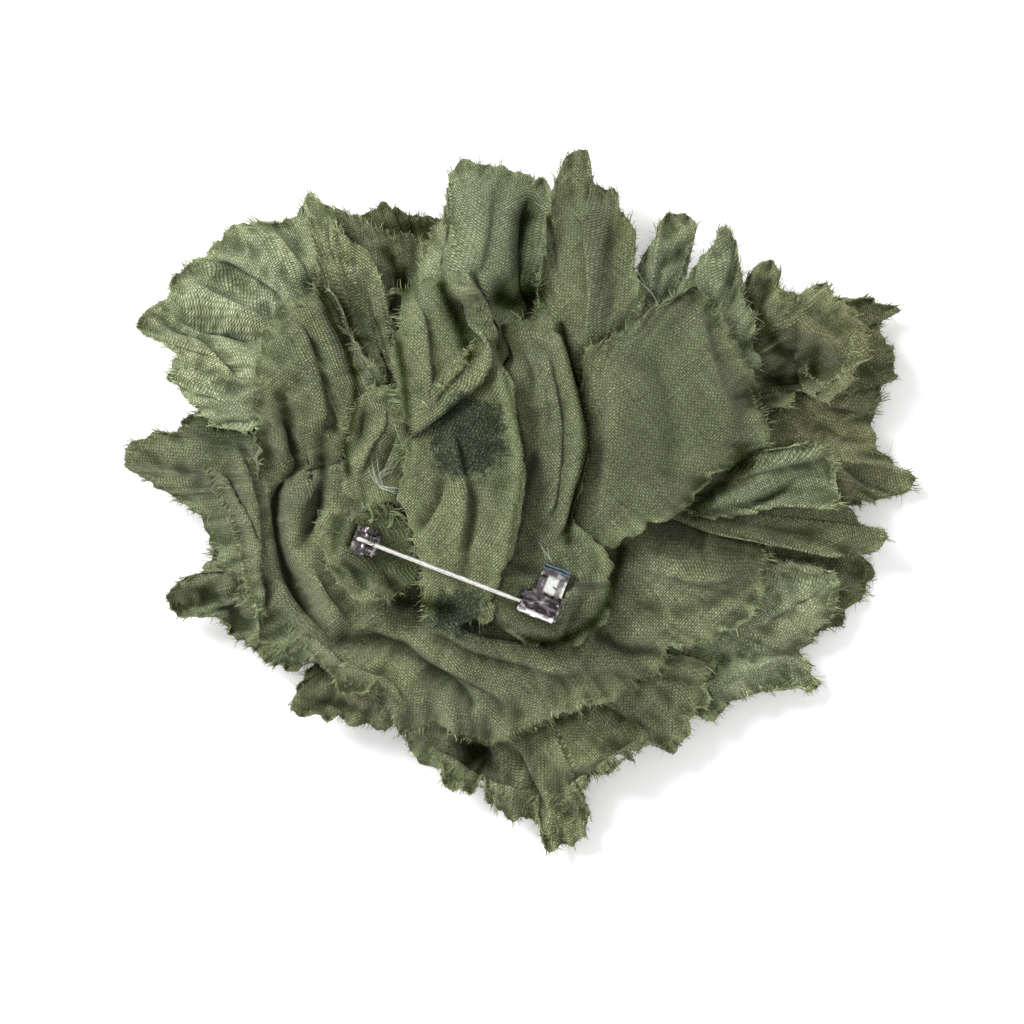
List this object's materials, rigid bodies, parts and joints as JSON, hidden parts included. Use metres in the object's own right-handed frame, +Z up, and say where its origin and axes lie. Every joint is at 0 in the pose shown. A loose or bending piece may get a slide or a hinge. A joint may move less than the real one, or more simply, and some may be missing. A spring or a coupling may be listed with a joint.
{
  "type": "flower lapel pin",
  "caption": "Raw-edged gauze flower brooch lying face down, its petals gathered at the back under a steel bar pin with a hinged stem and a hooded catch.",
  "frame": {"origin": "on the surface it lies on, under the middle of the flower", "axes": "+Z up out of the flower's back, through the bar pin; +X across the widest way, to the right as the picture shows it; +Y to the picture's top"},
  "size_m": [0.1087, 0.0963, 0.0289],
  "materials": {
    "gauze_deep": "open gauze weave, crushed",
    "gauze_mid": "open gauze weave, crushed",
    "gauze_pale": "open gauze weave, crushed",
    "gauze_olive": "open gauze weave, crushed",
    "bar_steel": "dull nickel plate",
    "stem_steel": "bright wire"
  },
  "bodies": {
    "flower": {"petal_broad": "gauze_deep", "petal_point": "gauze_mid", "petal_top": "gauze_pale", "petal_top_shade": "gauze_deep", "petal_far_top": "gauze_olive", "petal_pleat": "gauze_mid", "petal_upper_left": "gauze_pale", "petal_left_inner": "gauze_mid", "petal_sweep": "gauze_deep", "petal_lower_left": "gauze_pale", "petal_lower_small": "gauze_olive", "petal_bottom": "gauze_mid", "petal_right_low": "gauze_pale", "petal_right_under": "gauze_olive", "petal_right_back": "gauze_olive", "petal_right_mid": "gauze_pale", "petal_right_fold": "gauze_mid", "petal_small_tip": "gauze_pale", "petal_pale_curl": "gauze_pale", "petal_roll": "gauze_olive", "gather_left": "gauze_mid", "gather_middle": "gauze_deep", "small_roll": "gauze_pale", "hinge_patch": "gauze_mid", "front_ring": "gauze_deep", "front_ruffle": "gauze_mid", "front_bud": "gauze_pale", "bar_base": "bar_steel"},
    "stem": {"pin_stem": "stem_steel"}
  },
  "joints": [
    {"name": "stem_hinge", "type": "hinge", "parent": "flower", "child": "stem", "pos_m": [-0.0212, -0.00578, 0.02535], "axis": [-0.2534, -0.6601, 0.7071], "range_deg": [0, 50]}
  ]
}
